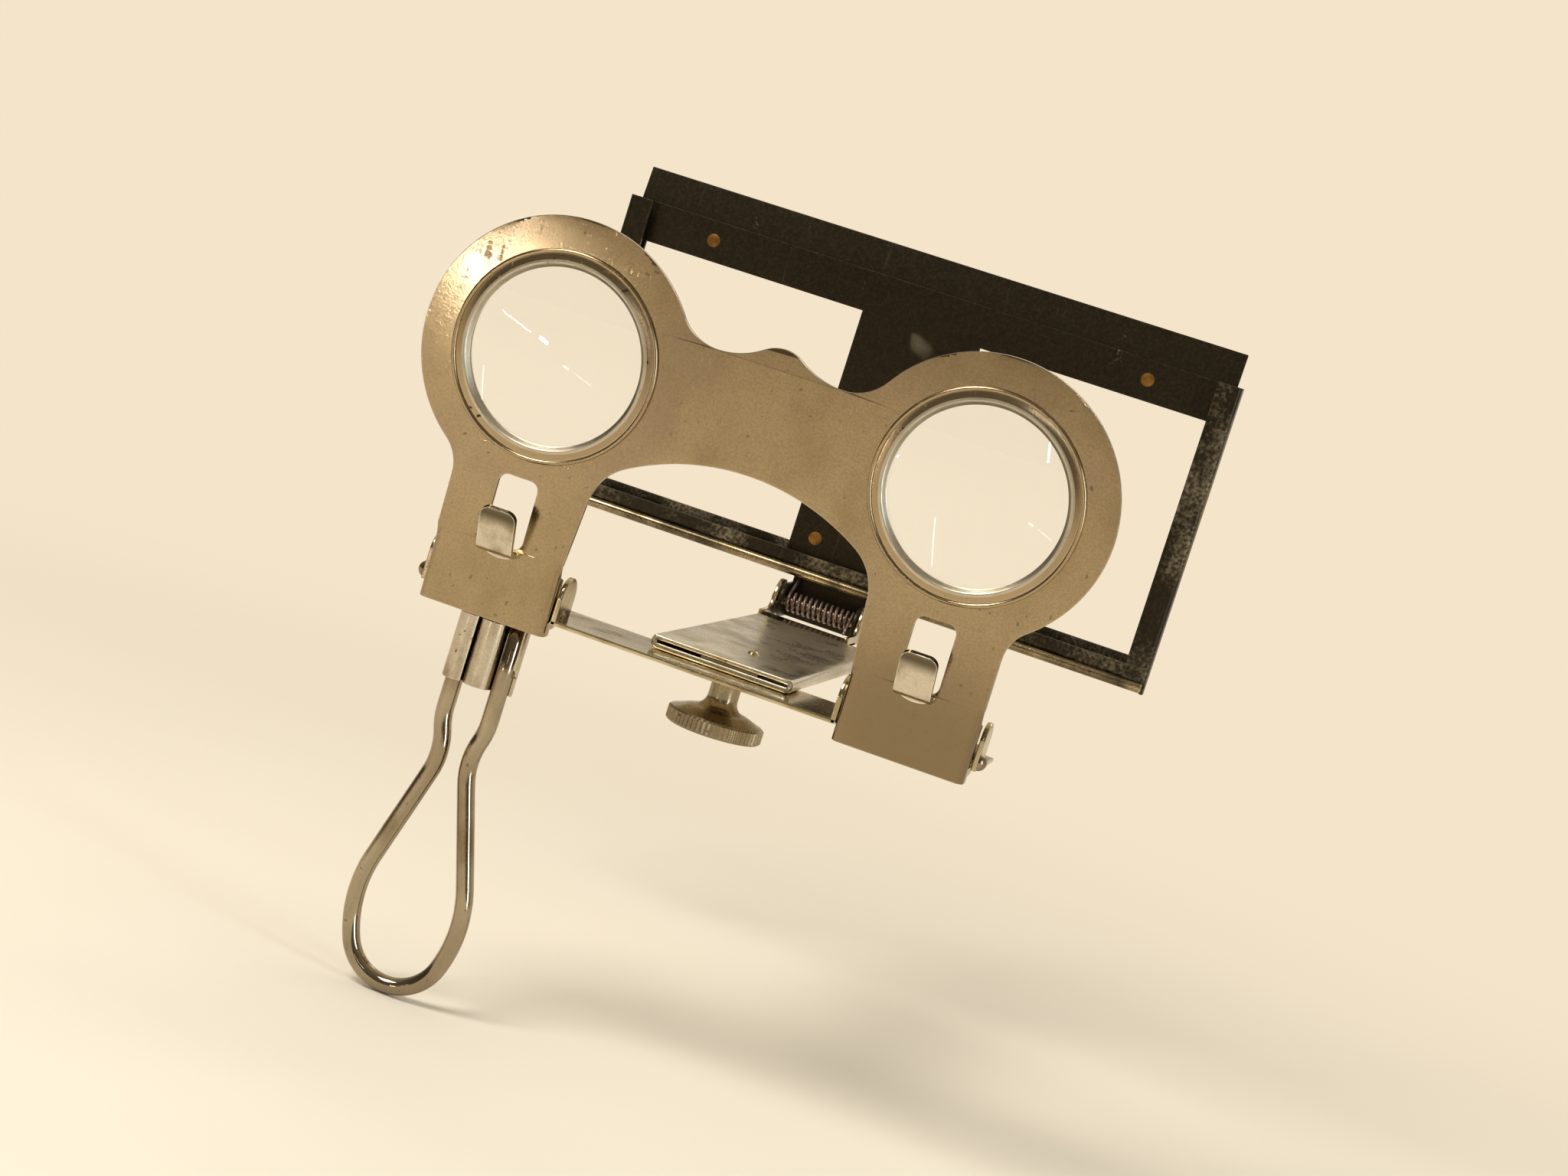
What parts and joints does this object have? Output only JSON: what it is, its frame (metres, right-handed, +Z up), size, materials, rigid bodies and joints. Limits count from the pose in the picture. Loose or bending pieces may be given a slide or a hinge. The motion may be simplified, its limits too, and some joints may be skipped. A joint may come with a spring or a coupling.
{
  "type": "folding stereoscope",
  "caption": "Hand-held folding stereoscope: twin-lens eye frame, sliding carriage with spring hinge, black card frame, thumb screw and folding wire handle.",
  "frame": {"origin": "middle of the base strip's underside, right below the axis of the leg pins", "axes": "+X to the viewer's right, +Y from the eyes towards the card, +Z up, square to the base strip"},
  "size_m": [0.1104, 0.099, 0.1297],
  "materials": {
    "matt_nickel": "matt nickel plate, warm grey, finely speckled",
    "bright_nickel": "polished nickel plate with soft scratches",
    "worn_nickel": "rubbed nickel plate with dark grime in the corners",
    "black_japan": "satin black japan, worn to grey metal on folds and edges",
    "copper": "dull copper",
    "rusty_steel": "brown rusty spring steel",
    "lens_glass": "clear polished glass"
  },
  "bodies": {
    "base": {"base_strip": "bright_nickel", "leg_pins": "bright_nickel"},
    "eye_frame": {"lens_plate": "matt_nickel", "left_bezel": "matt_nickel", "right_bezel": "matt_nickel", "left_lens": "lens_glass", "right_lens": "lens_glass", "left_lens_ring": "worn_nickel", "right_lens_ring": "worn_nickel"},
    "carriage": {"carriage": "bright_nickel", "stop_stud": "bright_nickel", "hinge_bracket": "bright_nickel", "hinge_axle": "bright_nickel", "hinge_spring": "rusty_steel"},
    "picture_frame": {"hinge_tongue": "black_japan", "picture_plate": "black_japan", "guide_lip": "black_japan", "left_channel": "black_japan", "right_channel": "black_japan", "bottom_channel": "black_japan", "frame_rivets": "copper"},
    "screw": {"thumb_screw": "worn_nickel"},
    "clamp": {"clamp_plate": "worn_nickel"},
    "handle": {"handle_wire": "bright_nickel", "handle_strap": "worn_nickel"}
  },
  "joints": [
    {"name": "eye_frame_fold", "type": "hinge", "parent": "base", "child": "eye_frame", "pos_m": [0, 0, 0.0014], "axis": [1, 0, 0], "range_deg": [-56, 4]},
    {"name": "focus_slide", "type": "slide", "parent": "base", "child": "carriage", "axis": [0, 1, 0], "range_m": [-0.0085, 0]},
    {"name": "picture_frame_fold", "type": "hinge", "parent": "carriage", "child": "picture_frame", "pos_m": [0, 0.083, 0.005], "axis": [1, 0, 0], "range_deg": [0, 88], "stiffness_Nm_per_rad": 0.012, "springref_deg": -91.67, "deforming": ["hinge_spring"]},
    {"name": "screw_turn", "type": "hinge", "parent": "base", "child": "screw", "pos_m": [0.0034, 0.008, 0], "axis": [0, 0, 1], "range_deg": [0, 270]},
    {"name": "clamp_lift", "type": "slide", "parent": "base", "child": "clamp", "axis": [0, 0, 1], "range_m": [0, 0.0005]},
    {"name": "handle_fold", "type": "hinge", "parent": "base", "child": "handle", "pos_m": [-0.031, 0, 0.0014], "axis": [1, 0, 0], "range_deg": [0, 70]}
  ],
  "couplings": [
    {"joint": "clamp_lift", "follows": "screw_turn", "m_per_rad": 0.0000796}
  ]
}
